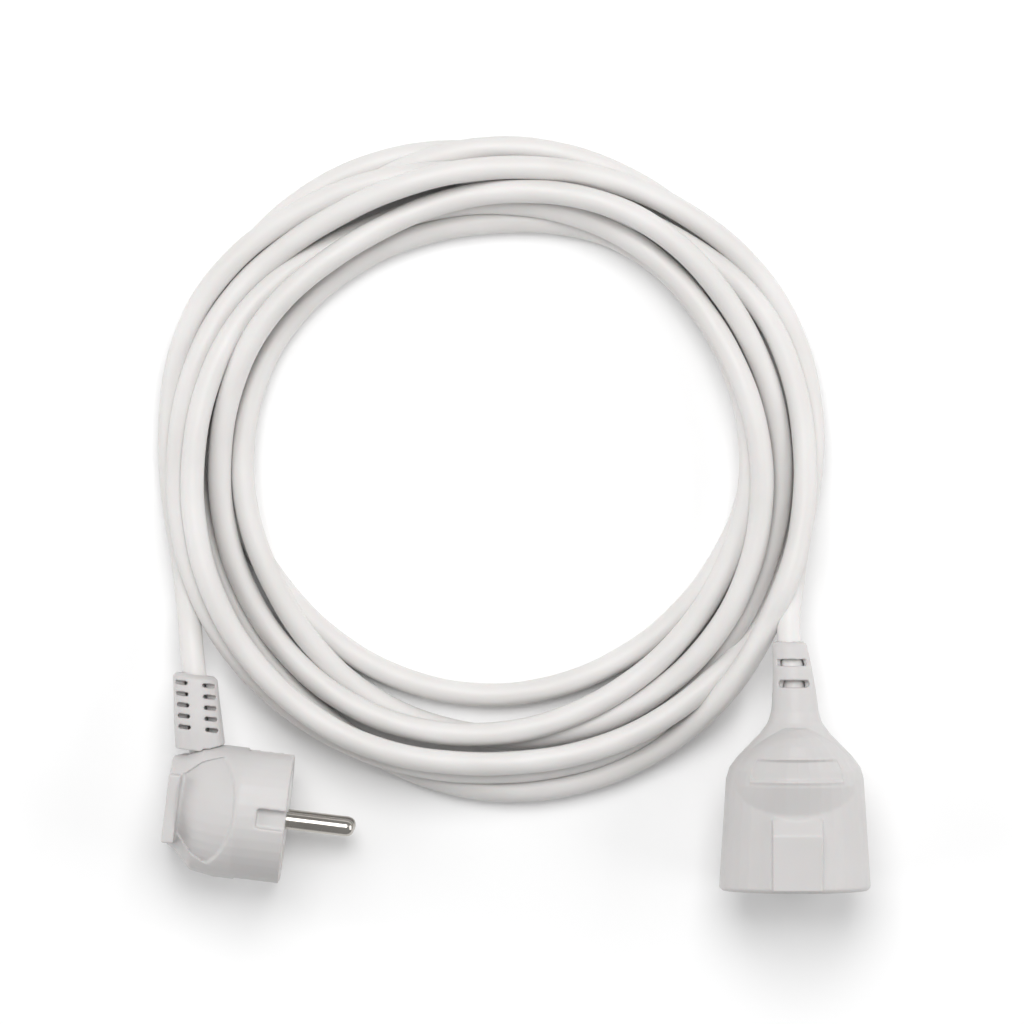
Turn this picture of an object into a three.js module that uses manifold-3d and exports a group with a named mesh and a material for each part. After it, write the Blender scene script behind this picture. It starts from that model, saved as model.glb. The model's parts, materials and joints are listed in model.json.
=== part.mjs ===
// A household extension cord: a moulded earthed socket outlet at one end of a loosely coiled
// three-core cord, and a moulded right-angle earthed plug at the other end.
// Millimetres, +Z up. The origin is under the middle of the socket outlet, on the surface it lies on.
// The outlet's mouth faces -Y and its cord leaves towards +Y.
import * as THREE from "three";
import { mergeVertices } from "three/addons/utils/BufferGeometryUtils.js";
import Module from "manifold-3d";

const wasm = await Module();
wasm.setup();

// ---------------------------------------------------------------- driving dimensions

const GAP = 0.3; // between pieces that touch
const CRIMP_GAP = 0.8; // past a core's slanted ends
const BORE_PLAY = 0.4; // round the cord inside a fitting
const PIN_SPACING = 19; // between the two pins, and between the two contact tubes
const PIN_RADIUS = 2.4;
const CORE_RADIUS = 1.25; // one insulated core of the cord
const TAIL_RADIUS = 1.5; // a contact's solid tail, which a core is crimped to
const EARTH_TAIL_LENGTH = 3.4;

const CORD = {
  radius: 3.3,
  sides: 12,
  coreRingRadius: 1.6, // from the cord's axis to a core's axis
};

const COIL = {
  centre: [-84.2, 83.3],
  innerRadius: 62.4,
  outerRadius: 91,
  height: 20,
  edgeRadius: 6,
};

// Lengths along the socket outlet run from its mouth towards its cord.
const SOCKET = {
  length: 68.9,
  mouthRadius: 21.05,
  mouthRounding: 0.9,
  shoulderStart: 31, // where the barrel starts to close in
  shoulderRadius: 19.1,
  shoulderEnd: 49.5, // where the neck starts
  neckRadius: 6.6,
  neckEndRadius: CORD.radius + 1.4,
  endRounding: 0.8,
  neckSag: 5, // the neck hangs down with the cord, and is pulled a little to one side
  neckSway: -1.5,
  halfHeight: 22.2, // axis to the flats it lies on
  recessDepth: 17.5,
  recessMouthRadius: 19.2,
  recessFloorRadius: 18.7,
  seatRadius: 17.1,
  insertDepth: 11,
  cavityRadius: PIN_SPACING / 2 + 6.1,
  jacketEnd: 46, // where the cord's jacket stops inside the neck
  padWidth: 13.8,
  padStart: 0.6,
  padFlatEnd: 16,
  padEnd: 20.3,
  pillowFront: 20.6, // raised oval: front foot, crest and back foot
  pillowCrestStart: 29.3,
  pillowCrestEnd: 37.5,
  pillowBack: 45,
  pillowHalfWidth: 18.6,
  slotsFromEnd: [11.7, 5.8], // to the middle of each grip slot across the neck
  slotWidth: 1.9,
  slotLength: 8.3,
  slotFloor: 2.4, // height over the neck's axis that a slot reaches down to
  slotReach: 9, // and the height that its cut starts from
  guideWidth: 4.6,
  guideHeight: 1.5,
  guideStart: 6,
  contactRadius: 3.1,
  contactBore: 2.55,
  contactLength: 8.5,
  tailLength: 2.6,
  earthWidth: 8,
  earthThickness: 0.8,
  earthTip: 4,
  earthPlay: 0.5, // round the strip in its groove
  earthReach: 17.7, // axis to the middle of the strip where it lies in its groove
  earthTouch: 16.1, // and where it bows inwards to touch a plug
};

// The plug's own frame: +X along the pins, +Y towards the cord, the face's centre at the origin.
const PLUG = {
  faceCentre: [-140.8, -14.9],
  turn: -7.1, // degrees about Z
  radius: 18.35,
  flangeDepth: 13.5, // length of the full round front part
  squareDepth: 18.4, // length of the straight edges beside the grip
  depth: 33.4,
  gripHalfHeight: 11.2,
  backLow: -10.1, // of the grip's back end
  backHigh: 13.6,
  padLow: -10.1, // of the back rest that stands on it
  padHigh: 8.9,
  padThickness: 3.3,
  padHalfHeight: 13.4,
  pinLength: 19,
  pinRoot: 11, // length of a pin behind the face
  bridgeRadius: PIN_SPACING / 2 + PIN_RADIUS + 1.7,
  bridgeDepth: 8,
  cavityHalfHeight: PIN_SPACING / 2 + PIN_RADIUS + GAP,
  cavityDepth: 27,
  cavityNarrowFrom: 19.5,
  cavityNarrowHalfHeight: PIN_SPACING / 2 - 1.1,
  cavityHalfWidth: 10.5,
  grooveWidth: 5.4, // side grooves in line with the pins
  grooveLength: 8,
  grooveDepth: 2.1,
  notchWidth: 9.4, // rim notches over the earth strap
  notchLength: 12.5,
  notchDepth: 2.6,
  strapWidth: 6.4,
  strapThickness: 0.8,
  strapInset: 1.65, // outside of the round front to the middle of the strap
  strapPlay: 0.5,
  strapCross: 10.6, // how far behind the face the strap crosses over
  strapTail: 6, // sideways from the pins' plane to the strap's tail
  earthHoleOffset: -10,
  earthTubeRadius: PIN_RADIUS + 0.6,
  sectionPower: 2.15, // over 2 squares a round section a little
};

// The strain relief sleeve stands on the plug: its axis leaves the plug's +Y by a small lean.
const SLEEVE = {
  rootX: -26.7,
  rootY: 18.8,
  length: 17.8,
  lean: 0.207, // sideways per length
  sag: 3.5,
  rootHalfWidth: 7.05,
  endHalfWidth: 6.2,
  rootHalfHeight: 6.3,
  endHalfHeight: 5.6,
  slotRows: 5,
  slotPitch: 3,
  firstSlot: 3.2,
  slotWidth: 1.1,
  slotInner: 2,
  slotOuter: 5.5,
  slotDepth: 2.9,
};

// Hand-chosen points of the cord between each fitting and the coil.
const SOCKET_LEAD = [
  [-1.5, 34.5, 17.2],
  [-1.6, 39.5, 14.9],
  [-1.1, 44.5, 12.8],
  [-0.3, 50, 10.8],
  [0.8, 56.5, 9],
  [1.6, 63.2, 7.6],
];
const PLUG_LEAD = [
  [-166.5, 25.2, 14.8],
  [-167.3, 30.5, 12.9],
  [-167.8, 36, 11.2],
  [-168.3, 42, 9.8],
  [-169.2, 49, 8.6],
  [-170.2, 57, 7.6],
];

// ---------------------------------------------------------------- materials

const material = (color, roughness, metalness = 0) =>
  new THREE.MeshStandardMaterial({ color, roughness, metalness });
const WHITE_PVC = material(0xe2dfdc, 0.5);
const CORD_PVC = material(0xe4e0dc, 0.45);
const HARD_PLASTIC = material(0xd9d7d4, 0.4);
const NICKEL = material(0xc9c4bb, 0.22, 1);
const BRASS = material(0xb89a5a, 0.35, 1);
const BROWN = material(0x5b3320, 0.5);
const BLUE = material(0x2b5fae, 0.5);
const GREEN_YELLOW = material(0x9db52a, 0.5);

// ---------------------------------------------------------------- solids

const X = new THREE.Vector3(1, 0, 0);
const UP = new THREE.Vector3(0, 0, 1);

// A closed geometry as a manifold-3d solid.
function solid(geometry) {
  const bare = new THREE.BufferGeometry();
  bare.setAttribute("position", geometry.getAttribute("position"));
  bare.setIndex(geometry.getIndex());
  const merged = mergeVertices(bare, 1e-4);
  const mesh = new wasm.Mesh({
    numProp: 3,
    vertProperties: new Float32Array(merged.attributes.position.array),
    triVerts: new Uint32Array(merged.index.array),
  });
  return new wasm.Manifold(mesh);
}

// A manifold-3d solid as a named three.js mesh.
function piece(name, body, look, parent) {
  const raw = body.getMesh();
  const geometry = new THREE.BufferGeometry();
  const position = new THREE.BufferAttribute(raw.vertProperties, raw.numProp);
  geometry.setAttribute("position", position);
  geometry.setIndex(new THREE.BufferAttribute(raw.triVerts, 1));
  const flat = geometry.toNonIndexed();
  flat.computeVertexNormals();
  const mesh = new THREE.Mesh(flat, look);
  mesh.name = name;
  parent.add(mesh);
  return mesh;
}

const joined = (bodies) => bodies.reduce((sum, next) => sum.add(next));
const cut = (body, tools) => tools.reduce((rest, tool) => rest.subtract(tool), body);

function box(low, high) {
  const size = high.map((value, i) => value - low[i]);
  const geometry = new THREE.BoxGeometry(...size);
  geometry.translate(...low.map((value, i) => value + size[i] / 2));
  return solid(geometry);
}

// A rounded section carried along Y. Each station is
// { at, across, up, middle: [x, z] }: half sizes along X and Z, and the section's centre.
function loftGeometry(stations, sides, power = 2) {
  const rows = [...stations].sort((p, q) => q.at - p.at);
  const geometry = new THREE.CylinderGeometry(1, 1, 1, sides, rows.length - 1);
  const position = geometry.getAttribute("position");
  for (let i = 0; i < position.count; i++) {
    const row = rows[Math.round((0.5 - position.getY(i)) * (rows.length - 1))];
    const [middleX, middleZ] = row.middle ?? [0, 0];
    const x = position.getX(i);
    const z = position.getZ(i);
    const spread = Math.hypot(x, z) < 0.5 ? 0 : 1;
    const bend = (value) => Math.sign(value) * Math.abs(value) ** (2 / power) * spread;
    position.setXYZ(i, middleX + row.across * bend(x), row.at, middleZ + row.up * bend(z));
  }
  return geometry;
}
const loft = (stations, sides, power) => solid(loftGeometry(stations, sides, power));

// The same along X: across is then the half size along Y, and middle is [y, z].
function loftAlongX(stations, sides, power) {
  const turned = stations.map((station) => {
    const [y, z] = station.middle ?? [0, 0];
    return { ...station, middle: [-y, z] };
  });
  return solid(loftGeometry(turned, sides, power).rotateZ(-Math.PI / 2));
}

// A round bar between two points, or a cone frustum when the radii differ.
function bar(from, to, radius, endRadius = radius, sides = 24) {
  const start = new THREE.Vector3(...from);
  const way = new THREE.Vector3(...to).sub(start);
  const geometry = new THREE.CylinderGeometry(endRadius, radius, way.length(), sides);
  geometry.translate(0, way.length() / 2, 0);
  const along = new THREE.Vector3(0, 1, 0);
  geometry.applyQuaternion(new THREE.Quaternion().setFromUnitVectors(along, way.normalize()));
  geometry.translate(...from);
  return solid(geometry);
}

// A round section swept along a smooth curve through the points.
function sweep(points, radius, sides, steps) {
  const path = new THREE.CatmullRomCurve3(points.map((point) => new THREE.Vector3(...point)));
  const section = new THREE.Shape();
  for (let i = 0; i < sides; i++) {
    const angle = (i / sides) * 2 * Math.PI;
    const [u, v] = [radius * Math.cos(angle), radius * Math.sin(angle)];
    if (i === 0) section.moveTo(u, v);
    else section.lineTo(u, v);
  }
  section.closePath();
  return solid(new THREE.ExtrudeGeometry(section, { steps, extrudePath: path }));
}

// A flat strip bent along a polyline in its own plane, as an outline with a thickness.
function stripOutline(points, thickness) {
  const line = points.map((point) => new THREE.Vector2(...point));
  const side = line.map((point, i) => {
    const before = line[Math.max(i - 1, 0)];
    const after = line[Math.min(i + 1, line.length - 1)];
    const back = point.clone().sub(before).normalize();
    const ahead = after.clone().sub(point).normalize();
    const mean = back.add(ahead).normalize();
    const reach = i > 0 && i < line.length - 1 ? ahead.dot(mean) : 1;
    return new THREE.Vector2(-mean.y, mean.x).multiplyScalar(thickness / 2 / reach);
  });
  const left = line.map((point, i) => point.clone().add(side[i]));
  const right = line.map((point, i) => point.clone().sub(side[i])).reverse();
  return new THREE.Shape([...right.reverse(), ...left.reverse()]);
}

function strip(points, thickness, width) {
  const geometry = new THREE.ExtrudeGeometry(stripOutline(points, thickness), {
    depth: width,
    bevelEnabled: false,
  });
  return geometry.translate(0, 0, -width / 2);
}

// ---------------------------------------------------------------- socket outlet

const object = new THREE.Group();
const outlet = new THREE.Group();
outlet.position.set(0, -SOCKET.length / 2, SOCKET.halfHeight);
object.add(outlet);

// The neck's axis bends smoothly from the shoulder to its end.
const NECK_BEND_START = SOCKET.shoulderEnd - 1.5;
function neckMiddle(at) {
  const part = Math.max(0, (at - NECK_BEND_START) / (SOCKET.length - NECK_BEND_START));
  return [SOCKET.neckSway * part ** 2, -SOCKET.neckSag * part ** 2];
}

// Sections stay upright, so where the neck slopes they are taller by this factor.
function neckStretch(at) {
  const bent = SOCKET.length - NECK_BEND_START;
  const part = Math.max(0, (at - NECK_BEND_START) / bent);
  return Math.hypot(1, (2 * SOCKET.neckSag * part) / bent);
}

// Radius of the barrel, its shoulder and the neck at a length from the mouth.
function barrelRadius(at) {
  const { shoulderStart, shoulderEnd, mouthRounding, length } = SOCKET;
  if (at <= mouthRounding) return SOCKET.mouthRadius - (mouthRounding - at);
  const blend = (from, to, part) => from + (to - from) * part;
  if (at <= shoulderStart) {
    const part = (at - mouthRounding) / (shoulderStart - mouthRounding);
    return blend(SOCKET.mouthRadius, SOCKET.shoulderRadius, part);
  }
  if (at <= shoulderEnd) {
    const part = (at - shoulderStart) / (shoulderEnd - shoulderStart);
    return blend(SOCKET.shoulderRadius, SOCKET.neckRadius, part ** 2 * (3 - 2 * part));
  }
  const part = (at - shoulderEnd) / (length - shoulderEnd);
  return blend(SOCKET.neckRadius, SOCKET.neckEndRadius, part);
}

function outletShape() {
  const { length, mouthRounding, shoulderStart, shoulderEnd } = SOCKET;
  const marks = [0, mouthRounding, shoulderStart / 2];
  const shoulderSteps = 7;
  for (let i = 0; i < shoulderSteps; i++) {
    marks.push(shoulderStart + ((shoulderEnd - shoulderStart) * i) / (shoulderSteps - 1));
  }
  const neckSteps = 6;
  for (let i = 1; i <= neckSteps; i++) {
    marks.push(shoulderEnd + ((length - SOCKET.endRounding - shoulderEnd) * i) / neckSteps);
  }
  const stations = marks.map((at) => ({
    at,
    across: barrelRadius(at),
    up: barrelRadius(at) * neckStretch(at),
    middle: neckMiddle(at),
  }));
  const end = SOCKET.neckEndRadius - SOCKET.endRounding;
  const endUp = end * neckStretch(length);
  stations.push({ at: length, across: end, up: endUp, middle: neckMiddle(length) });
  return loft(stations, 36);
}

// The raised oval on both broad sides, which a thumb presses on.
function pillow() {
  const { pillowFront, pillowCrestStart, pillowCrestEnd, pillowBack, pillowHalfWidth } = SOCKET;
  const fall = pillowBack - pillowCrestEnd;
  const top = SOCKET.halfHeight;
  const foot = { at: pillowFront, across: pillowHalfWidth - 0.4, up: barrelRadius(pillowFront) - 0.3 };
  const crest = { at: pillowCrestStart, across: pillowHalfWidth, up: top };
  // Behind the crest: [length from the mouth, how far inside the barrel's sides, fall from the top].
  const back = [
    [pillowCrestStart + 4, 0.8, 0],
    [pillowCrestEnd, 0.9, 0],
    [pillowCrestEnd + 0.4 * fall, 1.1, 1.4],
    [pillowCrestEnd + 0.7 * fall, 2.2, 4],
    [pillowBack, barrelRadius(pillowBack) / 2, 9],
  ].map(([at, inside, drop]) => ({ at, across: barrelRadius(at) - inside, up: top - drop }));
  const wide = SOCKET.mouthRadius + 1;
  return loft([foot, crest, ...back], 36).intersect(box([-wide, 0, -top], [wide, SOCKET.length, top]));
}

// The flat pad over each earth contact, from the mouth back to a sloping end.
function pad(side) {
  const { padStart, padFlatEnd, padEnd, padWidth, halfHeight } = SOCKET;
  const floor = barrelRadius(padEnd) - 2;
  const outline = new THREE.Shape();
  outline.moveTo(padStart, floor);
  outline.lineTo(padEnd, floor);
  outline.lineTo(padEnd, barrelRadius(padEnd) - 0.4);
  outline.lineTo(padFlatEnd, halfHeight);
  outline.lineTo(padStart, halfHeight);
  outline.closePath();
  const geometry = new THREE.ExtrudeGeometry(outline, { depth: padWidth, bevelEnabled: false });
  geometry.translate(0, 0, -padWidth / 2);
  // The outline's (x, y, depth) become the outlet's (y, z, x).
  const turn = new THREE.Matrix4().makeBasis(new THREE.Vector3(0, 1, 0), UP, X);
  geometry.applyMatrix4(turn);
  if (side < 0) geometry.rotateY(Math.PI);
  return solid(geometry);
}

const SEAT_END = SOCKET.recessDepth + SOCKET.insertDepth + GAP;
const EARTH_BACK = SEAT_END + 0.8; // the strip's run across behind the insert
const GROOVE_END = EARTH_BACK + 1;

function outletHousing() {
  const { recessDepth, recessMouthRadius, recessFloorRadius, seatRadius, jacketEnd } = SOCKET;
  const { earthWidth, earthTip, earthReach, earthThickness, guideWidth, guideStart, guideHeight } = SOCKET;
  const bore = CORD.radius + BORE_PLAY;
  const outer = joined([outletShape(), pillow(), pad(1), pad(-1)]);
  const recess = bar([0, -1, 0], [0, recessDepth, 0], recessMouthRadius, recessFloorRadius, 48);
  const seat = bar([0, recessDepth - 1, 0], [0, SEAT_END, 0], seatRadius, seatRadius, 48);
  const cavity = bar([0, SEAT_END - 1, 0], [0, jacketEnd, 0], SOCKET.cavityRadius, bore, 32);
  const neckBore = [];
  for (let at = jacketEnd - 1; at < SOCKET.length + 2; at += 2) {
    neckBore.push({ at, across: bore, up: bore * neckStretch(at), middle: neckMiddle(at) });
  }
  const deep = earthReach + earthThickness / 2 + GAP;
  const halfGroove = earthWidth / 2 + SOCKET.earthPlay;
  const groove = box([-halfGroove, earthTip - 1.5, -deep], [halfGroove, GROOVE_END, deep]);
  const hollow = cut(outer, [recess, seat, cavity, loft(neckBore, 20), groove]);
  const guides = [-1, 1].map((side) => {
    const inner = recessFloorRadius - guideHeight;
    const edges = [side * inner, side * (recessMouthRadius + 0.6)].sort((p, q) => p - q);
    return box([edges[0], guideStart, -guideWidth / 2], [edges[1], recessDepth, guideWidth / 2]);
  });
  const { slotLength, slotWidth, slotFloor, slotReach } = SOCKET;
  const slots = SOCKET.slotsFromEnd.flatMap((fromEnd) => {
    const at = SOCKET.length - fromEnd;
    const [x, z] = neckMiddle(at);
    return [
      [z + slotFloor, z + slotReach],
      [z - slotReach, z - slotFloor],
    ].map(([low, high]) => {
      const start = [x - slotLength / 2, at - slotWidth / 2, low];
      return box(start, [x + slotLength / 2, at + slotWidth / 2, high]);
    });
  });
  return cut(joined([hollow, ...guides]), slots);
}

function outletInsert() {
  const start = SOCKET.recessDepth;
  const end = start + SOCKET.insertDepth;
  const radius = SOCKET.seatRadius - GAP;
  const disc = bar([0, start, 0], [0, end, 0], radius, radius, 40);
  const holes = [-1, 1].flatMap((side) => {
    const x = (side * PIN_SPACING) / 2;
    const pocketStart = end - SOCKET.contactLength;
    return [
      bar([x, start - 1, 0], [x, end + 1, 0], PIN_RADIUS + GAP),
      bar([x, pocketStart - GAP, 0], [x, end + 1, 0], SOCKET.contactRadius + GAP),
    ];
  });
  return cut(disc, holes);
}

// A contact tube, open to the mouth, with a solid tail that its core is crimped to.
function contactTube(side) {
  const end = SOCKET.recessDepth + SOCKET.insertDepth;
  const start = end - SOCKET.contactLength;
  const x = (side * PIN_SPACING) / 2;
  const tube = bar([x, start, 0], [x, end, 0], SOCKET.contactRadius);
  const bore = bar([x, start - 1, 0], [x, end - 1, 0], SOCKET.contactBore);
  const tail = bar([x, end - 0.5, 0], [x, end + SOCKET.tailLength, 0], TAIL_RADIUS, TAIL_RADIUS, 12);
  return tube.subtract(bore).add(tail);
}

// One strip makes both earth contacts: it runs across behind the insert and forward on each side.
function outletEarthStrip() {
  const { earthTip, earthReach, earthTouch, recessDepth, earthThickness, earthWidth } = SOCKET;
  const half = [
    [earthTip, earthReach - 0.5],
    [earthTip + 4.5, earthTouch],
    [earthTip + 7.5, earthTouch],
    [recessDepth - 1, earthReach],
    [EARTH_BACK, earthReach],
  ];
  const other = half.map(([along, out]) => [along, -out]).reverse();
  const geometry = strip([...half, ...other], earthThickness, earthWidth);
  const turn = new THREE.Matrix4().makeBasis(new THREE.Vector3(0, 1, 0), UP, X);
  const tail = bar([0, EARTH_BACK, 0], [0, EARTH_BACK + EARTH_TAIL_LENGTH, 0], TAIL_RADIUS, TAIL_RADIUS, 12);
  return solid(geometry.applyMatrix4(turn)).add(tail);
}

// Where the three cores leave the cord's cut end: two side by side and the earth core over them.
const CORE_PLACES = [
  [-CORD.coreRingRadius, -0.8],
  [CORD.coreRingRadius, -0.8],
  [0, CORD.coreRingRadius],
];

function outletCores() {
  const from = SOCKET.jacketEnd - CRIMP_GAP;
  const tailEnd = SOCKET.recessDepth + SOCKET.insertDepth + SOCKET.tailLength + CRIMP_GAP;
  const reach = PIN_SPACING / 2;
  const ends = [
    [-reach, tailEnd, 0],
    [reach, tailEnd, 0],
    [0, EARTH_BACK + EARTH_TAIL_LENGTH + CRIMP_GAP, 0],
  ];
  return ends.map((end, i) => {
    const [x, z] = CORE_PLACES[i];
    const leaving = [end[0] * 0.93, end[1] + 1.6, end[2]];
    const arriving = [x * 1.25, from - 3, z * 1.1];
    return sweep([end, leaving, arriving, [x, from, z]], CORE_RADIUS, 8, 7);
  });
}

piece("socket_housing", outletHousing(), WHITE_PVC, outlet);
piece("socket_insert", outletInsert(), HARD_PLASTIC, outlet);
piece("socket_contact_live", contactTube(-1), BRASS, outlet);
piece("socket_contact_neutral", contactTube(1), BRASS, outlet);
piece("socket_earth_strip", outletEarthStrip(), NICKEL, outlet);
const [outletLive, outletNeutral, outletEarth] = outletCores();
piece("socket_core_live", outletLive, BROWN, outlet);
piece("socket_core_neutral", outletNeutral, BLUE, outlet);
piece("socket_core_earth", outletEarth, GREEN_YELLOW, outlet);

// ---------------------------------------------------------------- plug

const plug = new THREE.Group();
plug.position.set(...PLUG.faceCentre, PLUG.radius);
plug.rotation.z = THREE.MathUtils.degToRad(PLUG.turn);
object.add(plug);

const SLEEVE_ROOT = 3; // how far the sleeve's shape runs into the plug before it is trimmed

// A point on the sleeve's axis, at a length from its root.
function sleeveMiddle(along) {
  const part = Math.max(0, along / SLEEVE.length);
  return [SLEEVE.rootX - SLEEVE.lean * along, SLEEVE.rootY + along, -SLEEVE.sag * part ** 2];
}

// The sleeve's sections are taller where its axis slopes, as the neck's are.
function sleeveStretch(along) {
  const part = Math.max(0, along / SLEEVE.length);
  return Math.hypot(1, (2 * SLEEVE.sag * part) / SLEEVE.length);
}

// Sideways from the plug's axis to the middle of its earth strap, in its rim notches.
const STRAP_REACH = PLUG.radius - PLUG.strapInset;

// The plug's outside: a round front, closing in to a grip with a back rest behind it.
function plugShape(grow = 0) {
  const { radius, flangeDepth, squareDepth, depth, gripHalfHeight, backLow, backHigh } = PLUG;
  const backMiddle = (backLow + backHigh) / 2;
  const backHalf = (backHigh - backLow) / 2;
  const full = { across: radius + grow, up: radius + grow };
  // Behind the round front: [length, half width, half height, share of the back end's offset].
  const rear = [
    [-squareDepth, radius, 0.35 * gripHalfHeight + 0.65 * radius, 0],
    [-0.55 * squareDepth - 0.45 * depth, 0.96 * radius, gripHalfHeight + 1.4, 0.2],
    [-0.28 * squareDepth - 0.72 * depth, 0.4 * backHalf + 0.5 * radius, gripHalfHeight, 0.6],
    [-depth - grow, backHalf, gripHalfHeight - 0.2, 1],
  ].map(([at, halfWidth, halfUp, share]) => ({
    at,
    across: halfWidth + grow,
    up: halfUp + grow,
    middle: [share * backMiddle, 0],
  }));
  const front = [{ at: grow, ...full }, { at: -flangeDepth, ...full }];
  return loftAlongX([...front, ...rear], 40, PLUG.sectionPower);
}

function backRest() {
  const { depth, padThickness, padLow, padHigh, padHalfHeight } = PLUG;
  return box([-depth - 0.05, padLow, -padHalfHeight], [-depth + padThickness, padHigh, padHalfHeight]);
}

function sleeveBore() {
  const bore = CORD.radius + BORE_PLAY;
  const stations = [];
  for (let along = -12; along <= SLEEVE.length + 2; along += 2) {
    const [x, y, z] = sleeveMiddle(along);
    const across = bore * Math.hypot(1, SLEEVE.lean);
    stations.push({ at: y, across, up: bore * sleeveStretch(along), middle: [x, z] });
  }
  return loft(stations, 20);
}

function plugBody() {
  const { bridgeRadius, bridgeDepth, cavityHalfHeight, cavityDepth, cavityHalfWidth } = PLUG;
  const { cavityNarrowFrom, cavityNarrowHalfHeight, grooveWidth, grooveLength, grooveDepth } = PLUG;
  const { notchWidth, notchLength, notchDepth, radius, strapCross, strapWidth, strapPlay } = PLUG;
  const seatRadius = bridgeRadius + GAP;
  const bridgeSeat = bar([1, 0, 0], [-bridgeDepth - GAP, 0, 0], seatRadius, seatRadius, 40);
  const wide = box(
    [-cavityNarrowFrom, -cavityHalfWidth, -cavityHalfHeight],
    [-bridgeDepth, cavityHalfWidth, cavityHalfHeight],
  );
  const narrow = box(
    [-cavityDepth, -cavityHalfWidth, -cavityNarrowHalfHeight],
    [-cavityNarrowFrom + 1, cavityHalfWidth, cavityNarrowHalfHeight],
  );
  const sideCuts = [-1, 1].flatMap((side) => {
    const groove = [side * (radius - grooveDepth), side * (radius + 1)].sort((p, q) => p - q);
    const notch = [side * (radius - notchDepth), side * (radius + 1)].sort((p, q) => p - q);
    return [
      box([-grooveLength, -grooveWidth / 2, groove[0]], [1, grooveWidth / 2, groove[1]]),
      box([-notchLength, notch[0], -notchWidth / 2], [1, notch[1], notchWidth / 2]),
    ];
  });
  const slotDeep = PLUG.strapThickness / 2 + strapPlay;
  const slotWide = STRAP_REACH + strapPlay;
  const slotHigh = strapWidth / 2 + strapPlay;
  const strapSlot = box(
    [-strapCross - slotDeep, -slotWide, -slotHigh],
    [-strapCross + slotDeep, slotWide, slotHigh],
  );
  const outer = plugShape().add(backRest());
  return cut(outer, [bridgeSeat, wide, narrow, ...sideCuts, strapSlot, sleeveBore()]);
}

function strainReliefSleeve() {
  const steps = 8;
  const stations = [];
  const ratio = (part, root, end) => root + (end - root) * part;
  const roundEnd = 0.9;
  for (let i = 0; i <= steps; i++) {
    const along = -SLEEVE_ROOT + ((SLEEVE.length - roundEnd + SLEEVE_ROOT) * i) / steps;
    const part = Math.max(0, along / SLEEVE.length);
    const [x, y, z] = sleeveMiddle(along);
    stations.push({
      at: y,
      across: ratio(part, SLEEVE.rootHalfWidth, SLEEVE.endHalfWidth),
      up: ratio(part, SLEEVE.rootHalfHeight, SLEEVE.endHalfHeight) * sleeveStretch(along),
      middle: [x, z],
    });
  }
  const [endX, endY, endZ] = sleeveMiddle(SLEEVE.length);
  stations.push({
    at: endY,
    across: SLEEVE.endHalfWidth - roundEnd,
    up: SLEEVE.endHalfHeight - roundEnd,
    middle: [endX, endZ],
  });
  const slots = [];
  for (let row = 0; row < SLEEVE.slotRows; row++) {
    const [x, y, z] = sleeveMiddle(SLEEVE.firstSlot + row * SLEEVE.slotPitch);
    const half = SLEEVE.slotWidth / 2;
    for (const side of [-1, 1]) {
      const edges = [x + side * SLEEVE.slotInner, x + side * SLEEVE.slotOuter].sort((p, q) => p - q);
      const floor = SLEEVE.endHalfHeight - SLEEVE.slotDepth;
      slots.push(box([edges[0], y - half, z + floor], [edges[1], y + half, z + 9]));
      slots.push(box([edges[0], y - half, z - 9], [edges[1], y + half, z - floor]));
    }
  }
  return cut(loft(stations, 28, 2.6), [plugShape(GAP), sleeveBore(), ...slots]);
}

// The hard face plate that holds the pins and the earth tube.
function faceBridge() {
  const disc = bar([0, 0, 0], [-PLUG.bridgeDepth, 0, 0], PLUG.bridgeRadius, PLUG.bridgeRadius, 40);
  const pinHoles = [-1, 1].map((side) => {
    const z = (side * PIN_SPACING) / 2;
    return bar([1, 0, z], [-PLUG.bridgeDepth - 1, 0, z], PIN_RADIUS + GAP);
  });
  const y = PLUG.earthHoleOffset;
  const earthHole = bar([1, y, 0], [-PLUG.bridgeDepth - 1, y, 0], PLUG.earthTubeRadius + GAP);
  return cut(disc, [...pinHoles, earthHole]);
}

const PIN_TAIL = PLUG.pinRoot + 3; // behind the face, a pin's crimped end

function plugPin(side) {
  const z = (side * PIN_SPACING) / 2;
  const round = 1.6;
  const profile = [
    [0, -PIN_TAIL],
    [TAIL_RADIUS, -PIN_TAIL],
    [TAIL_RADIUS, -PLUG.pinRoot],
    [PIN_RADIUS, -PLUG.pinRoot],
    [PIN_RADIUS, PLUG.pinLength - round],
    [PIN_RADIUS * 0.85, PLUG.pinLength - 0.5 * round],
    [PIN_RADIUS * 0.5, PLUG.pinLength - 0.12 * round],
    [0, PLUG.pinLength],
  ];
  const geometry = new THREE.LatheGeometry(profile.map((p) => new THREE.Vector2(...p)), 20);
  return solid(geometry.rotateZ(-Math.PI / 2).translate(0, 0, z));
}

// One strap shows in both rim notches and crosses over behind the face bridge.
function plugEarthStrap() {
  const half = [
    [-1, STRAP_REACH],
    [-PLUG.strapCross, STRAP_REACH],
  ];
  const other = half.map(([along, out]) => [along, -out]).reverse();
  const geometry = strip([...half, ...other], PLUG.strapThickness, PLUG.strapWidth);
  const { strapCross, strapTail } = PLUG;
  const tailEnd = [-strapCross - EARTH_TAIL_LENGTH, strapTail, 0];
  return solid(geometry).add(bar([-strapCross, strapTail, 0], tailEnd, TAIL_RADIUS, TAIL_RADIUS, 12));
}

function plugEarthTube() {
  const y = PLUG.earthHoleOffset;
  const end = -PLUG.bridgeDepth;
  const tube = bar([-0.4, y, 0], [end, y, 0], PLUG.earthTubeRadius);
  return tube.subtract(bar([1, y, 0], [end + 0.8, y, 0], PIN_RADIUS));
}

// The cord's cut end inside the plug, on the sleeve's axis.
const PLUG_JACKET_END = -9;

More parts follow.
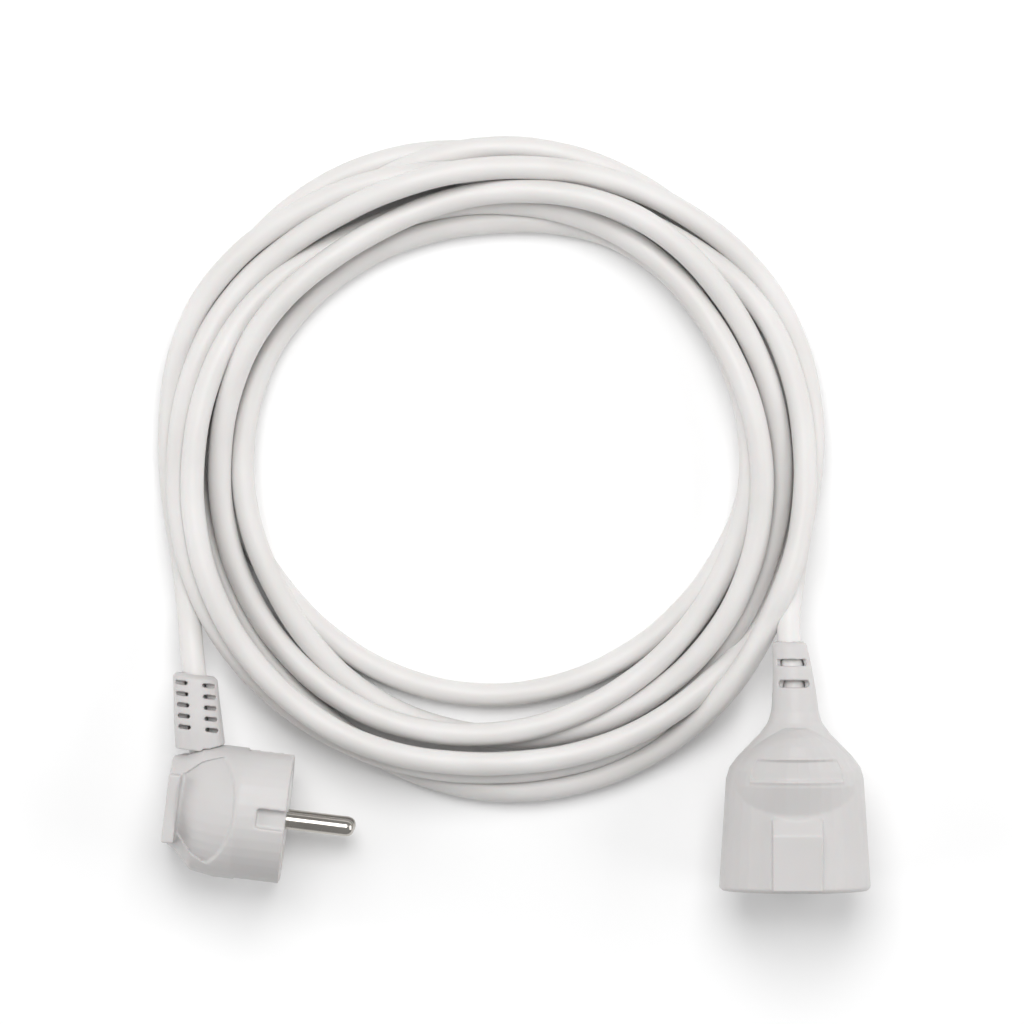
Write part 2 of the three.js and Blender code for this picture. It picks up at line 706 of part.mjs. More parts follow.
function plugCores() {
  const [x, y, z] = sleeveMiddle(PLUG_JACKET_END - CRIMP_GAP);
  const tail = -PIN_TAIL - CRIMP_GAP;
  const reach = PIN_SPACING / 2;
  const ends = [
    [tail, 0, -reach],
    [tail, 0, reach],
    [-PLUG.strapCross - EARTH_TAIL_LENGTH - CRIMP_GAP, PLUG.strapTail, 0],
  ];
  const starts = [
    [x, y, z - CORD.coreRingRadius],
    [x, y, z + CORD.coreRingRadius],
    [x + CORD.coreRingRadius + 0.1, y, z],
  ];
  const knees = [
    [x + 4.6, y - 6, -5.4],
    [x + 4.6, y - 6, 5.4],
    [x + 4, y - 2.2, 0],
  ];
  return ends.map((end, i) => {
    const leaving = [end[0] - 1.6, end[1], end[2]];
    return sweep([end, leaving, knees[i], starts[i]], CORE_RADIUS, 8, 8);
  });
}

piece("plug_body", plugBody(), WHITE_PVC, plug);
piece("plug_strain_relief", strainReliefSleeve(), WHITE_PVC, plug);
piece("plug_face_bridge", faceBridge(), HARD_PLASTIC, plug);
piece("plug_pin_lower", plugPin(-1), NICKEL, plug);
piece("plug_pin_upper", plugPin(1), NICKEL, plug);
piece("plug_earth_strap", plugEarthStrap(), NICKEL, plug);
piece("plug_earth_tube", plugEarthTube(), BRASS, plug);
const [plugLive, plugNeutral, plugEarth] = plugCores();
piece("plug_core_live", plugLive, BROWN, plug);
piece("plug_core_neutral", plugNeutral, BLUE, plug);
piece("plug_core_earth", plugEarth, GREEN_YELLOW, plug);

// ---------------------------------------------------------------- cord

// A ring that holds the coil's turns, with rounded edges.
function coilRing(grow = 0) {
  const { innerRadius, outerRadius, height, edgeRadius } = COIL;
  const [inner, outer] = [innerRadius - grow, outerRadius + grow];
  const steps = 3;
  const corners = [
    [outer - edgeRadius, edgeRadius - grow, -90],
    [outer - edgeRadius, height - edgeRadius + grow, 0],
    [inner + edgeRadius, height - edgeRadius + grow, 90],
    [inner + edgeRadius, edgeRadius - grow, 180],
  ];
  const profile = corners.flatMap(([r, z, start]) =>
    Array.from({ length: steps + 1 }, (_, i) => {
      const angle = THREE.MathUtils.degToRad(start + (90 * i) / steps);
      return new THREE.Vector2(r + edgeRadius * Math.cos(angle), z + edgeRadius * Math.sin(angle));
    }),
  );
  profile.push(profile[0].clone());
  const geometry = new THREE.LatheGeometry(profile, 64);
  return solid(geometry.rotateX(Math.PI / 2).translate(...COIL.centre, 0));
}

// Points of the cord inside the outlet's neck, in the object's frame.
function cordInNeck() {
  const fromEnd = [18.9, 14.9, 10.9, 6.9, 3.4];
  return [SOCKET.jacketEnd, ...fromEnd.map((back) => SOCKET.length - back)].map((at) => {
    const [x, z] = neckMiddle(at);
    return [x, at - SOCKET.length / 2, SOCKET.halfHeight + z];
  });
}

// Points of the cord inside the plug's sleeve, in the object's frame.
function cordInSleeve() {
  plug.updateMatrix();
  return [PLUG_JACKET_END, -4, 0, 4, 8, 12, 15].map((along) => {
    const point = new THREE.Vector3(...sleeveMiddle(along)).applyMatrix4(plug.matrix);
    return point.toArray();
  });
}

const keepOut = coilRing(GAP);
const socketLead = sweep([...cordInNeck(), ...SOCKET_LEAD], CORD.radius, CORD.sides, 18);
const plugLead = sweep([...cordInSleeve(), ...PLUG_LEAD], CORD.radius, CORD.sides, 18);
piece("cord_coil", coilRing(), CORD_PVC, object);
piece("cord_socket_lead", socketLead.subtract(keepOut), CORD_PVC, object);
piece("cord_plug_lead", plugLead.subtract(keepOut), CORD_PVC, object);

export default object;
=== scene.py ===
"""A white household extension cord, loosely coiled on a pale floor and seen from straight above.
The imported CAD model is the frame: metres, +Z up, origin under the middle of the socket outlet."""
import json
import math

import bpy
import numpy as np
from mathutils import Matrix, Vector


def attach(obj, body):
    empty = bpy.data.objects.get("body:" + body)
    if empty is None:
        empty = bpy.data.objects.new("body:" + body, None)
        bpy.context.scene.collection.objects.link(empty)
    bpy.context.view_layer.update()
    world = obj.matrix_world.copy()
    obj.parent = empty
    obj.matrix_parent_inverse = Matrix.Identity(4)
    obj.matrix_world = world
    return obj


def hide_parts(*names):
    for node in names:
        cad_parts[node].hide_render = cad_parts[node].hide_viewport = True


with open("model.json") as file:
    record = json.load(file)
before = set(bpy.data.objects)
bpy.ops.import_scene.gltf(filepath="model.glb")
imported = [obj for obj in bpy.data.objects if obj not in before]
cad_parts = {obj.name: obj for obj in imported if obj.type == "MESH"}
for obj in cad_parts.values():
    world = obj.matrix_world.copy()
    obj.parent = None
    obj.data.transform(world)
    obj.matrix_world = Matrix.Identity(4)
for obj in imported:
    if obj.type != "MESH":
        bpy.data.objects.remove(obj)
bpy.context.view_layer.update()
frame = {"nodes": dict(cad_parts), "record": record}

MM = 0.001
NODES = frame["nodes"]

# ---------------------------------------------------------------- camera

PICTURE_WIDTH = 286.8 * MM  # of the floor that the picture shows
PICTURE_CENTRE = (-78.35 * MM, 70.3 * MM)
CAMERA_HEIGHT = 2.0
SENSOR = 36.0


def make_camera():
    data = bpy.data.cameras.new("camera")
    data.sensor_width = SENSOR
    data.lens = SENSOR * CAMERA_HEIGHT / PICTURE_WIDTH
    camera = bpy.data.objects.new("camera", data)
    camera.location = (*PICTURE_CENTRE, CAMERA_HEIGHT)
    bpy.context.collection.objects.link(camera)
    bpy.context.scene.camera = camera


# ---------------------------------------------------------------- the cord's route, in millimetres

CORD_DIAMETER = 6.6
CORD_SIDES = 28
CORE_COUNT = 3
LAY_PITCH = 62.0  # length over which the cores inside make one twist
LAY_DEPTH = 0.07  # how deep the jacket sinks in between them
CONTACT = 6.1  # between the axes of two turns that press on each other
LAYER_RISE = 0.92  # height of one layer, in cord diameters
COIL_CENTRE = (-84.2, 82.0)
CLOCK_STEP = 30.0  # degrees between the chosen places of a turn
SAMPLE_STEP = 2.5  # degrees between the points of the coil
PER_TURN = round(360 / SAMPLE_STEP)
ROUTE_STEP = 2.4  # between the points of the finished route
ROUTE_ROUNDS = 6  # of softening the finished route
ROUTE_SOFTENING = 0.25  # share of a bend that one of them takes out

# Distance from the coil's centre of each turn at 0, 30, ... 330 degrees, from the outlet's end on.
TURN_RADII = [
    [89.6, 92.6, 88.5, 83.9, 82.8, 87.1, 87.4, 88.2, 86.1, 84.3, 85.2, 81.2],
    [81.2, 80.8, 81.2, 77.2, 73.8, 75.8, 75.8, 76.3, 76.3, 73.7, 71.2, 70.8],
    [72.5, 73.6, 74.0, 69.5, 69.2, 70.4, 69.5, 68.6, 71.7, 74.5, 77.2, 77.5],
    [75.4, 73.9, 75.1, 74.8, 76.0, 81.5, 83.1, 84.9, 84.5, 81.8, 83.8, 86.0],
    [84.6, 86.2, 89.6, 89.9, 84.9, 79.3, 74.0, 67.2, 63.9, 63.0, 63.9, 67.5],
    [73.5, 79.5, 84.0, 88.8, 92.2, 90.0, 83.0, 81.0, 84.0, 89.4, 91.0, 88.6],
    [87.5, 87.7, 81.0, 82.5, 88.2, 93.6, 89.6],
]
# How high each turn lies there, in layers of cord above the floor, before it settles.
TURN_LEVELS = [
    [0.0, 0.0, 1.4, 1.3, 1.7, 1.0, 1.0, 1.3, 1.0, 0.7, 0.5, 0.4],
    [1.2, 1.1, 2.1, 1.7, 1.5, 2.0, 1.1, 0.8, 0.8, 1.0, 1.0, 0.9],
    [1.0, 0.0, 0.0, 0.0, 0.0, 0.0, 0.6, 1.0, 0.1, 0.0, 0.2, 1.6],
    [2.0, 1.0, 1.0, 0.6, 0.3, 1.5, 1.8, 2.2, 2.0, 1.6, 1.5, 0.1],
    [0.0, 0.0, 0.6, 0.8, 0.0, 0.0, 0.0, 0.0, 0.0, 0.0, 0.0, 0.0],
    [0.0, 0.0, 0.0, 0.0, 0.0, 0.0, 0.0, 0.0, 0.0, 0.0, 0.3, 1.7],
    [1.6, 1.0, 1.0, 0.9, 1.0, 0.8, 0.2],
]
# The cord inside the outlet's neck, and from there down to the coil.
IN_NECK = [
    (0, 11.55, 22.2),
    (0, 15.55, 22.2),
    (-0.12, 19.55, 21.8),
    (-0.34, 23.55, 21.1),
    (-0.67, 27.55, 20.0),
]
SOCKET_LEAD = [
    (-1.5, 34.5, 17.2),
    (-1.6, 39.5, 14.9),
    (-1.1, 44.5, 12.8),
    (-0.3, 50, 10.8),
    (0.8, 56.5, 9),
    (1.6, 63.2, 7.6),
]
# The same at the plug's end, up into its sleeve.
PLUG_LEAD = [
    (-166.5, 25.2, 14.8),
    (-167.3, 30.5, 12.9),
    (-167.8, 36, 11.2),
    (-168.3, 42, 9.8),
    (-169.2, 49, 8.6),
    (-170.2, 57, 7.6),
]
PLUG_FACE = (-140.8, -14.9, 18.35)  # the plug's own frame: +X along the pins, +Y towards its cord
PLUG_TURN = math.radians(-7.1)
IN_SLEEVE = [-9, -4, 0, 4, 8, 12, 15]  # lengths along the sleeve
SLEEVE_START = (-26.7, 18.8)  # where its axis starts, in the plug's own frame
SLEEVE_LEAN = 0.207  # away from the pins for each millimetre along the sleeve
SLEEVE_LENGTH = 17.8
SLEEVE_DROP = 3.5  # of its axis over that length
# The cord settles from this point of the outlet's lead on,
# until this one of the plug's lead, counted from the coil.
FREE_FROM, FREE_UNTIL = 3, 2

SETTLING_ROUNDS = 420
FALLING_ROUNDS = 0.75 * SETTLING_ROUNDS  # the turns sink in these, and only find their places in the rest
FALL = 0.06  # in each of them
STIFFENING_ROUNDS = 6  # in each settling round
STIFFNESS = 0.07  # share of a bend that one of them spreads
TENSION = 0.05  # share of a dip that one of them takes out
RETURN = 0.06  # share of the way back to the chosen radius, in each settling round
LIFT_SHARE = 0.7  # share of an overlap that a settling round clears by lifting
SIDE_SHARE = 0.06  # share of it that it clears sideways


def plug_place(point):
    """A point of the plug's own frame, in the object's frame."""
    x, y, z = point
    cosine, sine = math.cos(PLUG_TURN), math.sin(PLUG_TURN)
    return (
        PLUG_FACE[0] + cosine * x - sine * y,
        PLUG_FACE[1] + sine * x + cosine * y,
        PLUG_FACE[2] + z,
    )


def sleeve_middle(along):
    """A point on the axis of the plug's strain relief, in the plug's own frame."""
    return (
        SLEEVE_START[0] - SLEEVE_LEAN * along,
        SLEEVE_START[1] + along,
        -SLEEVE_DROP * max(0, along / SLEEVE_LENGTH) ** 2,
    )


def as_polar(points):
    """Clock angle in degrees, distance from the coil's centre, and height of each point."""
    x, y, height = (np.array(points, float) - np.array([*COIL_CENTRE, 0])).T
    return np.degrees(np.arctan2(y, x)), np.hypot(x, y), height


def smooth_through(places, values, at):
    """A smooth curve through the values, read at the places asked for."""
    slope = np.gradient(values, places)
    k = np.clip(np.searchsorted(places, at, side="right") - 1, 0, len(places) - 2)
    span = places[k + 1] - places[k]
    t = (at - places[k]) / span
    rise = values[k] * (1 + 2 * t) * (1 - t) ** 2 + values[k + 1] * t * t * (3 - 2 * t)
    return rise + span * (slope[k] * t * (1 - t) ** 2 - slope[k + 1] * t * t * (1 - t))


def even_out(values, share, held):
    """Spreads a bend over its neighbours, as the cord's stiffness does."""
    bend = -values[:-4] + 4 * values[1:-3] - 6 * values[2:-2] + 4 * values[3:-1] - values[4:]
    moved = values.copy()
    moved[2:-2] += share * bend
    moved[held] = values[held]
    return moved


def settle(radius, height, held):
    """Lets the turns down under their weight until they rest on the floor and on each other."""
    chosen = radius.copy()
    lowest = CORD_DIAMETER / 2
    for number in range(SETTLING_ROUNDS):
        falling = FALL if number < FALLING_ROUNDS else 0.0
        height = np.where(held, height, height - falling)
        for _ in range(STIFFENING_ROUNDS):
            height = even_out(height, STIFFNESS, held)
            tighter = height.copy()
            tighter[1:-1] += TENSION * (height[:-2] - 2 * height[1:-1] + height[2:])
            height = np.where(held, height, tighter)
        radius = even_out(radius + RETURN * (chosen - radius), STIFFNESS, held)
        for turns_apart in range(1, len(TURN_RADII) + 1):
            offset = turns_apart * PER_TURN
            if offset >= len(radius):
                break
            one, other = slice(0, len(radius) - offset), slice(offset, len(radius))
            across, up = radius[one] - radius[other], height[one] - height[other]
            apart = np.maximum(np.hypot(across, up), 1e-6)
            side = np.maximum(0, CONTACT - apart) / 2 * across / apart
            clear = np.sqrt(np.maximum(0, CONTACT**2 - across**2))
            lift = np.maximum(0, clear - np.abs(up)) / 2 * np.where(up >= 0, 1, -1)
            height[one] += LIFT_SHARE * lift * ~held[one]
            height[other] -= LIFT_SHARE * lift * ~held[other]
            radius[one] += SIDE_SHARE * side * ~held[one]
            radius[other] -= SIDE_SHARE * side * ~held[other]
        height = np.maximum(height, lowest)
    return radius, height


def coil_points():
    """The turns of the coil, between the two leads, in the object's frame."""
    radii = [r for turn in TURN_RADII for r in turn]
    levels = [level for turn in TURN_LEVELS for level in turn]
    angles = [CLOCK_STEP * i for i in range(len(radii))]
    heights = [CORD_DIAMETER * (0.5 + LAYER_RISE * level) for level in levels]
    first_angle, first_radius, first_height = as_polar(SOCKET_LEAD)
    last_angle, last_radius, last_height = as_polar(PLUG_LEAD[::-1])
    whole_turns = 360.0 * (len(TURN_RADII) - 1)
    places = np.concatenate([first_angle, angles, last_angle % 360 + whole_turns])
    radii = np.concatenate([first_radius, radii, last_radius])
    heights = np.concatenate([first_height, heights, last_height])
    first, last = math.ceil(places[0] / SAMPLE_STEP), math.floor(places[-1] / SAMPLE_STEP)
    at = np.arange(first, last + 1) * SAMPLE_STEP
    held = (at < first_angle[FREE_FROM]) | (at > whole_turns + last_angle[FREE_UNTIL] % 360)
    start = np.interp(at, places, heights)
    radius, height = settle(smooth_through(places, radii, at), start, held)
    angle = np.radians(at)
    return np.stack([
        COIL_CENTRE[0] + radius * np.cos(angle),
        COIL_CENTRE[1] + radius * np.sin(angle),
        height,
    ], axis=1)


def cord_route():
    """The cord's whole centreline as evenly spaced points, in millimetres."""
    in_sleeve = [plug_place(sleeve_middle(along)) for along in IN_SLEEVE]
    points = np.concatenate([IN_NECK, SOCKET_LEAD[:1], coil_points(), PLUG_LEAD[:1], in_sleeve[::-1]])
    reach = np.concatenate([[0], np.cumsum(np.linalg.norm(np.diff(points, axis=0), axis=1))])
    even = np.linspace(0, reach[-1], round(reach[-1] / ROUTE_STEP))
    route = np.stack([smooth_through(reach, points[:, i], even) for i in range(3)], axis=1)
    for _ in range(ROUTE_ROUNDS):
        route[1:-1] += ROUTE_SOFTENING * (route[:-2] - 2 * route[1:-1] + route[2:])
    route[:, 2] = np.maximum(route[:, 2], CORD_DIAMETER / 2)
    return route


# ---------------------------------------------------------------- mesh helpers


def add_object(name, mesh, smooth=True):
    thing = bpy.data.objects.new(name, mesh)
    bpy.context.collection.objects.link(thing)
    for face in mesh.polygons:
        face.use_smooth = smooth
    return thing


def mesh_from(name, points, faces):
    mesh = bpy.data.meshes.new(name)
    mesh.from_pydata([tuple(p) for p in points], [], faces)
    mesh.validate()
    return mesh


def tube_mesh(name, route, radius, sides, lobe_count, lay_pitch, lay_depth):
    """A closed tube along a route, very slightly lobed by the three cores twisted inside it."""
    ahead = np.gradient(route, axis=0)
    ahead /= np.linalg.norm(ahead, axis=1)[:, None]
    side = np.zeros_like(route)
    side[0] = np.cross(ahead[0], (0, 0, 1))
    for i in range(1, len(route)):
        side[i] = side[i - 1] - ahead[i] * np.dot(side[i - 1], ahead[i])
        side[i] /= np.linalg.norm(side[i])
    up = np.cross(ahead, side)
    along = np.concatenate([[0], np.cumsum(np.linalg.norm(np.diff(route, axis=0), axis=1))])
    turn = 2 * math.pi * np.arange(sides) / sides
    lobes = np.cos(lobe_count * (turn[None, :] - 2 * math.pi * along[:, None] / lay_pitch))
    reach = radius - lay_depth * (1 - lobes) / 2
    rings = route[:, None] + reach[..., None] * (
        np.cos(turn)[None, :, None] * side[:, None] + np.sin(turn)[None, :, None] * up[:, None]
    )
    points = rings.reshape(-1, 3)
    faces = []
    for i in range(len(route) - 1):
        a, b = i * sides, (i + 1) * sides
        faces += [(a + j, a + (j + 1) % sides, b + (j + 1) % sides, b + j) for j in range(sides)]
    faces.append(tuple(range(sides))[::-1])
    faces.append(tuple(range(len(points) - sides, len(points))))
    return mesh_from(name, points, faces)


# The new mesh's size in millimetres, and how often it is smoothed.
MOULDINGS = {
    "socket_housing": (0.4, 3),
    "plug_body": (0.4, 4),
    "plug_strain_relief": (0.3, 3),
}


def moulded_copy(node):
    """A finely meshed copy of a CAD node whose edges are rounded as a moulding's are."""
    voxel, rounds = MOULDINGS[node]
    thing = add_object(node + "_moulded", NODES[node].data.copy())
    remesh = thing.modifiers.new("remesh", "REMESH")
    remesh.mode = "VOXEL"
    remesh.voxel_size = voxel * MM
    remesh.use_smooth_shade = True
    soften = thing.modifiers.new("soften", "SMOOTH")
    soften.factor = 0.5
    soften.iterations = rounds
    graph = bpy.context.evaluated_depsgraph_get()
    mesh = bpy.data.meshes.new_from_object(thing.evaluated_get(graph))
    thing.modifiers.clear()
    thing.data = mesh
    mesh.materials.clear()
    for face in mesh.polygons:
        face.use_smooth = True
    return thing


def coordinates(mesh):
    flat = np.empty(len(mesh.vertices) * 3)
    mesh.vertices.foreach_get("co", flat)
    return flat.reshape(-1, 3)


def set_coordinates(mesh, points):
    mesh.vertices.foreach_set("co", points.ravel())
    mesh.update()


def ease(value):
    """0 below 0, 1 above 1 and smooth between."""
    t = np.clip(value, 0, 1)
    return t * t * (3 - 2 * t)


# ---------------------------------------------------------------- materials


NOISE_RANGE = (0.3, 0.7)  # where a noise texture's values mostly lie
# Scales of the noise that the plastics share: patches of tone, uneven sheen and shallow dents.
PATCH_SCALE, SHEEN_SCALE, DENT_SCALE = 38.0, 420.0, 140.0
DENT_SHARE = 4  # of the grain's height


class Look:
    """A Principled material with the few node chains that the parts share."""

    def __init__(self, name):
        self.material = bpy.data.materials.new(name)
        self.material.use_nodes = True
        self.tree = self.material.node_tree
        self.shader = self.tree.nodes["Principled BSDF"]
        self.place = self.tree.nodes.new("ShaderNodeTexCoord").outputs["Object"]

    def set(self, **values):
        for socket, value in values.items():
            self.shader.inputs[socket.replace("_", " ")].default_value = value
        return self

    def noise(self, scale, detail=3.0, stretch=None):
        texture = self.tree.nodes.new("ShaderNodeTexNoise")
        texture.inputs["Scale"].default_value = scale
        texture.inputs["Detail"].default_value = detail
        source = self.place
        if stretch:
            mapping = self.tree.nodes.new("ShaderNodeMapping")
            mapping.inputs["Scale"].default_value = stretch
            self.tree.links.new(source, mapping.inputs["Vector"])
            source = mapping.outputs["Vector"]
        self.tree.links.new(source, texture.inputs["Vector"])
        return texture.outputs["Fac"]

    def colours(self, source, low, high, between=NOISE_RANGE):
        ramp = self.tree.nodes.new("ShaderNodeValToRGB")
        for stop, position, colour in zip(ramp.color_ramp.elements, between, (low, high)):
            stop.position = position
            stop.color = (*colour, 1)
        self.tree.links.new(source, ramp.inputs["Fac"])
        self.tree.links.new(ramp.outputs["Color"], self.shader.inputs["Base Color"])
        return self

    def roughness(self, source, low, high):
        spread = self.tree.nodes.new("ShaderNodeMapRange")
        spread.inputs["From Min"].default_value = NOISE_RANGE[0]
        spread.inputs["From Max"].default_value = NOISE_RANGE[1]
        spread.inputs["To Min"].default_value = low
        spread.inputs["To Max"].default_value = high
        self.tree.links.new(source, spread.inputs["Value"])
        self.tree.links.new(spread.outputs["Result"], self.shader.inputs["Roughness"])
        return self

    def bumps(self, *layers):
        """Each layer is (source, height in metres)."""
        before = None
        for source, height in layers:
            bump = self.tree.nodes.new("ShaderNodeBump")
            bump.inputs["Distance"].default_value = height
            self.tree.links.new(source, bump.inputs["Height"])
            if before:
                self.tree.links.new(before, bump.inputs["Normal"])
            before = bump.outputs["Normal"]
        self.tree.links.new(before, self.shader.inputs["Normal"])
        return self


def plastic(name, low, high, rough, grain, grain_height):
    """Moulded or extruded PVC: faint patches of tone, uneven sheen and a fine grain."""
    look = Look(name)
    look.colours(look.noise(PATCH_SCALE, detail=2.0), low, high)
    look.roughness(look.noise(SHEEN_SCALE, detail=4.0), *rough)
    look.bumps(
        (look.noise(grain, detail=2.0), grain_height),
        (look.noise(DENT_SCALE, detail=1.0), DENT_SHARE * grain_height),
    )
    return look.set(Subsurface_Weight=0.12, Subsurface_Scale=0.0015, IOR=1.5).material


def metal(name, low, high, rough, stretch):
    """Plated or drawn metal: a slight drift of tone and fine marks along one way."""
    look = Look(name)
    look.colours(look.noise(scale=90.0, detail=3.0), low, high)
    look.roughness(look.noise(scale=600.0, detail=4.0, stretch=stretch), *rough)
    look.bumps((look.noise(scale=900.0, detail=3.0, stretch=stretch), 4e-6))
    return look.set(Metallic=1.0).material


def stripes(name, ground, stripe):
    """An earth core's two colours, in bands along it."""
    look = Look(name)
    wave = look.tree.nodes.new("ShaderNodeTexWave")
    wave.inputs["Scale"].default_value = 260.0
    wave.inputs["Distortion"].default_value = 0.6
    look.tree.links.new(look.place, wave.inputs["Vector"])
    look.colours(wave.outputs["Fac"], ground, stripe, between=(0.48, 0.56))
    look.bumps((look.noise(scale=2200.0, detail=2.0), 8e-6))
    return look.set(Roughness=0.42).material


# Darkest and lightest colour, least and most roughness, scale of the grain and its height in metres.
PLASTICS = {
    "housing_pvc": ((0.54, 0.525, 0.52), (0.575, 0.56, 0.555), (0.42, 0.56), 2600.0, 1.6e-5),
    "cord_pvc": ((0.665, 0.65, 0.635), (0.715, 0.7, 0.69), (0.4, 0.52), 1900.0, 1.2e-5),
    "hard_plastic": ((0.66, 0.65, 0.64), (0.7, 0.69, 0.68), (0.28, 0.38), 3200.0, 6e-6),
    "core_brown": ((0.1, 0.04, 0.02), (0.14, 0.055, 0.03), (0.35, 0.5), 2400.0, 8e-6),
    "core_blue": ((0.03, 0.12, 0.42), (0.05, 0.17, 0.5), (0.35, 0.5), 2400.0, 8e-6),
}
# Darkest and lightest colour, least and most roughness, and how the marks are squeezed along X, Y and Z.
METALS = {
    "nickel": ((0.46, 0.435, 0.4), (0.58, 0.55, 0.51), (0.12, 0.24), (1, 14, 14)),
    "brass": ((0.66, 0.5, 0.24), (0.76, 0.6, 0.32), (0.24, 0.4), (14, 1, 14)),
}
EARTH_GREEN, EARTH_YELLOW = (0.05, 0.3, 0.06), (0.75, 0.62, 0.05)


def make_materials():
    looks = {slot: plastic(slot, *values) for slot, values in PLASTICS.items()}
    looks.update({slot: metal(slot, *values) for slot, values in METALS.items()})
    looks["core_green_yellow"] = stripes("core_green_yellow", EARTH_GREEN, EARTH_YELLOW)
    return looks


def wear(piece, look):
    """Gives a piece its one material."""
    piece.data.materials.clear()
    piece.data.materials.append(look)


# ---------------------------------------------------------------- outlet

MOUTH_Y = -34.45  # the outlet's mouth; lengths below run from it towards the cord
OUTLET_AXIS = 22.2  # height of its axis
LABEL_HALF_WIDTH = 12.9
LABEL_START, LABEL_END = 30.6, 36.9
LABEL_RIM = 0.7
LABEL_DEPTH = 0.35
LABEL_LIP = 1.4  # height of the raised line round the field, as a share of its depth
LABEL_SKIN = 15.5  # only what is farther than this above or below the outlet's axis is pressed


def outlet_housing():
    """The outlet's moulding, with a plain label field pressed into each broad side."""
    housing = moulded_copy("socket_housing")
    points = coordinates(housing.data) / MM
    x, at, z = points[:, 0], points[:, 1] - MOUTH_Y, points[:, 2] - OUTLET_AXIS
    inside = np.minimum(LABEL_HALF_WIDTH - np.abs(x), np.minimum(at - LABEL_START, LABEL_END - at))
    outer_skin = np.abs(z) > LABEL_SKIN
    field = ease(inside / LABEL_RIM)
    lip = LABEL_LIP * ease(inside / LABEL_RIM + 1) * ease(-inside / LABEL_RIM + 1)
    press = LABEL_DEPTH * (field - lip)
    points[:, 2] -= np.sign(z) * press * outer_skin
    set_coordinates(housing.data, points * MM)
    return housing


# ---------------------------------------------------------------- plug

GRIP = {"middle": (-22.6, 1.0), "half": (8.6, 16.6), "depth": 0.9, "rim": 0.1}
GRIP_SKIN = 9.2  # only what is farther than this above or below the plug's middle is pressed
BACK_REST = -33  # and only what lies in front of the back rest


def plug_body():
    """The plug's moulding, with the large oval that thumb and finger take hold of."""
    body = moulded_copy("plug_body")
    points = coordinates(body.data) / MM
    cosine, sine = math.cos(-PLUG_TURN), math.sin(-PLUG_TURN)
    dx, dy, z = (points - PLUG_FACE).T
    x, y = cosine * dx - sine * dy, sine * dx + cosine * dy
    across = (x - GRIP["middle"][0]) / GRIP["half"][0]
    along = (y - GRIP["middle"][1]) / GRIP["half"][1]
    level = 1 - np.hypot(across, along)
    outer_skin = (np.abs(z) > GRIP_SKIN) & (x > BACK_REST)
    points[:, 2] -= np.sign(z) * GRIP["depth"] * ease(level / GRIP["rim"]) * outer_skin
    set_coordinates(body.data, points * MM)
    return body


PIN_SIDES = 48
PIN_OFFSET = 9.5  # of each pin from the plug's middle
PIN_TAIL, PIN_LENGTH = -14, 19  # where a pin ends behind the face and past it
PIN_PROFILE = [  # distance from the pin's axis and length past the face
    (1.5, PIN_TAIL),
    (1.5, -11),
    (2.4, -11),
    (2.4, 0),
    (2.4, 16.6),
    (2.33, 17.2),
    (2.1, 17.9),
    (1.65, 18.5),
    (0.9, 18.88),
]


def plug_pin(name, side):
    """A solid round pin with a domed tip and a thinner crimped tail."""
    sides, height = PIN_SIDES, side * PIN_OFFSET
    points = []
    for radius, length in PIN_PROFILE:
        for i in range(sides):
            angle = 2 * math.pi * i / sides
            point = (length, radius * math.cos(angle), height + radius * math.sin(angle))
            points.append(plug_place(point))
    points += [plug_place((PIN_TAIL, 0, height)), plug_place((PIN_LENGTH, 0, height))]
    tail, tip = len(points) - 2, len(points) - 1
    faces = []
    for row in range(len(PIN_PROFILE) - 1):
        a, b = row * sides, (row + 1) * sides
        faces += [(a + i, a + (i + 1) % sides, b + (i + 1) % sides, b + i) for i in range(sides)]
    last = (len(PIN_PROFILE) - 1) * sides
    faces += [(tail, (i + 1) % sides, i) for i in range(sides)]
    faces += [(tip, last + i, last + (i + 1) % sides) for i in range(sides)]
    return add_object(name, mesh_from(name, np.array(points) * MM, faces))


# ---------------------------------------------------------------- light and floor


TENT_GLOW = 0.34  # brightness of the world all round
TENT_LIGHTS = {  # place from the picture's centre, width and depth in metres, and power in watts
    "above": ((0, 0.5, 1.1), (0.8, 0.8), 9.6),
    "left": ((-0.9, 0, 0.5), (0.9, 0.6), 3.7),
    "right": ((0.9, 0, 0.5), (0.9, 0.6), 4.2),
}
AIM_HEIGHT = 0.02  # of the point above the floor that the lights face
FLOOR_HALF = 3.0
FLOOR_DROP = 0.0002  # under what rests on it
FLOOR_CORNERS = ((-1, -1), (1, -1), (1, 1), (-1, 1))


def area_light(name, place, size, power):
    data = bpy.data.lights.new(name, "AREA")
    data.shape = "RECTANGLE"
    data.size, data.size_y = size
    data.energy = power
    light = bpy.data.objects.new(name, data)
    light.location = place
    aim = np.array([*PICTURE_CENTRE, AIM_HEIGHT]) - np.array(place)
    light.rotation_mode = "QUATERNION"
    light.rotation_quaternion = Vector(aim).to_track_quat("-Z", "Y")
    bpy.context.collection.objects.link(light)


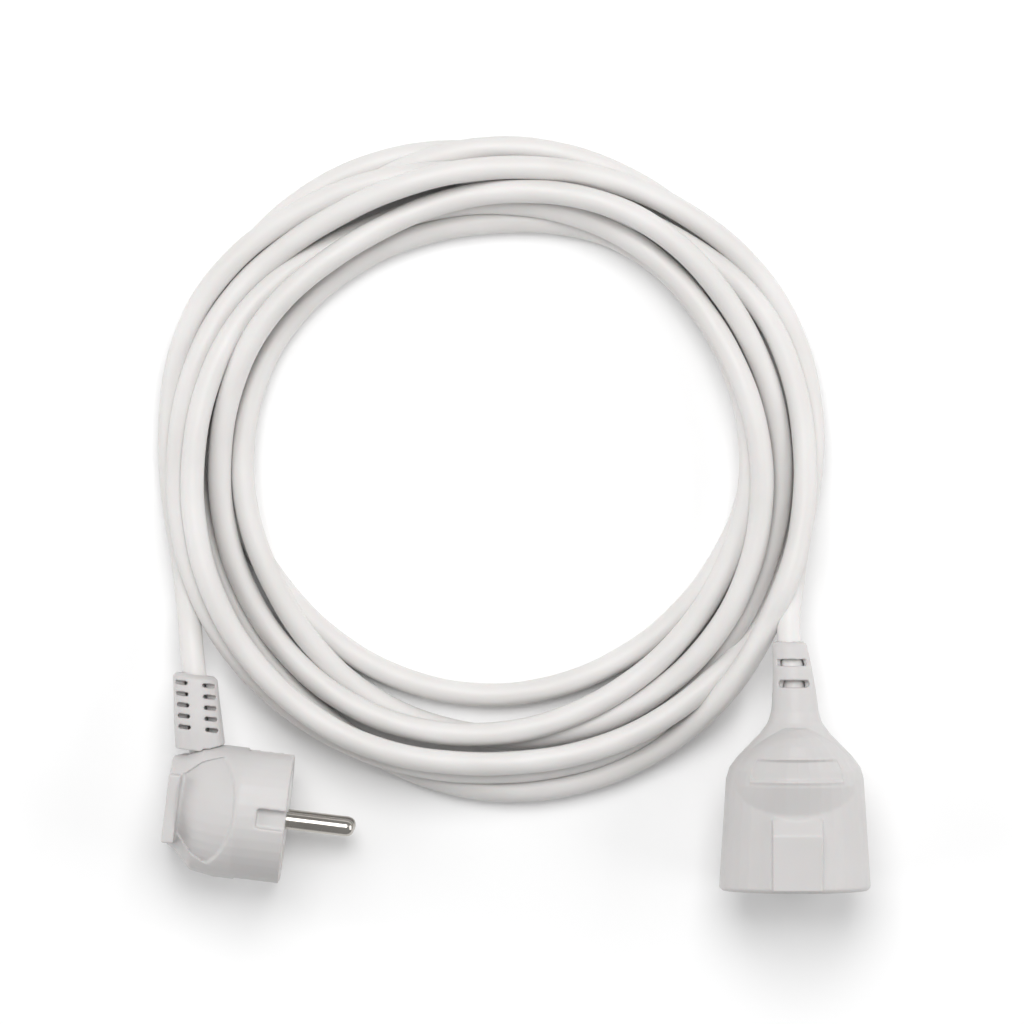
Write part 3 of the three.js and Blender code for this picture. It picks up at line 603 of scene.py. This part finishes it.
def make_studio():
    """A soft light tent: a wide sheet of light above and one on each side."""
    world = bpy.data.worlds.new("tent")
    world.use_nodes = True
    background = world.node_tree.nodes["Background"]
    background.inputs["Color"].default_value = (1, 1, 1, 1)
    background.inputs["Strength"].default_value = TENT_GLOW
    bpy.context.scene.world = world
    bpy.context.scene.view_settings.view_transform = "Standard"
    x, y = PICTURE_CENTRE
    for name, ((right, back, height), size, power) in TENT_LIGHTS.items():
        area_light(name, (x + right, y + back, height), size, power)

    corners = [(x + right * FLOOR_HALF, y + back * FLOOR_HALF, 0) for right, back in FLOOR_CORNERS]
    floor = add_object("floor", mesh_from("floor", corners, [(0, 1, 2, 3)]), smooth=False)
    floor.location.z = -FLOOR_DROP
    look = Look("pale_floor")
    look.colours(look.noise(scale=3.0, detail=2.0), (0.93, 0.93, 0.93), (0.945, 0.945, 0.945))
    floor.data.materials.append(look.set(Roughness=0.7).material)


# ---------------------------------------------------------------- the scene

make_camera()
LOOKS = make_materials()

route = cord_route()
tube = tube_mesh(
    "cord_jacket",
    route * MM,
    radius=CORD_DIAMETER / 2 * MM,
    sides=CORD_SIDES,
    lobe_count=CORE_COUNT,
    lay_pitch=LAY_PITCH * MM,
    lay_depth=LAY_DEPTH * MM,
)
cord = add_object("cord_jacket", tube)
wear(cord, LOOKS["cord_pvc"])
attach(cord, "root")
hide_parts("cord_coil", "cord_socket_lead", "cord_plug_lead")

outlet = outlet_housing()
plug = plug_body()
sleeve = moulded_copy("plug_strain_relief")
for piece, node in ((outlet, "socket_housing"), (plug, "plug_body"), (sleeve, "plug_strain_relief")):
    wear(piece, LOOKS["housing_pvc"])
    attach(piece, "root")
    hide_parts(node)

for end, side in (("lower", -1), ("upper", 1)):
    pin = plug_pin("plug_pin_" + end + "_turned", side)
    wear(pin, LOOKS["nickel"])
    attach(pin, "root")
    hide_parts("plug_pin_" + end)

# The other nodes stay as the CAD made them, in this script's materials.
replaced = {
    "cord_coil",
    "cord_socket_lead",
    "cord_plug_lead",
    "socket_housing",
    "plug_body",
    "plug_strain_relief",
    "plug_pin_lower",
    "plug_pin_upper",
}
for part in frame["record"]["subparts"]:
    if part["node"] not in replaced:
        for material_slot in NODES[part["node"]].material_slots:
            material_slot.material = LOOKS[part["material_slot"]]

make_studio()
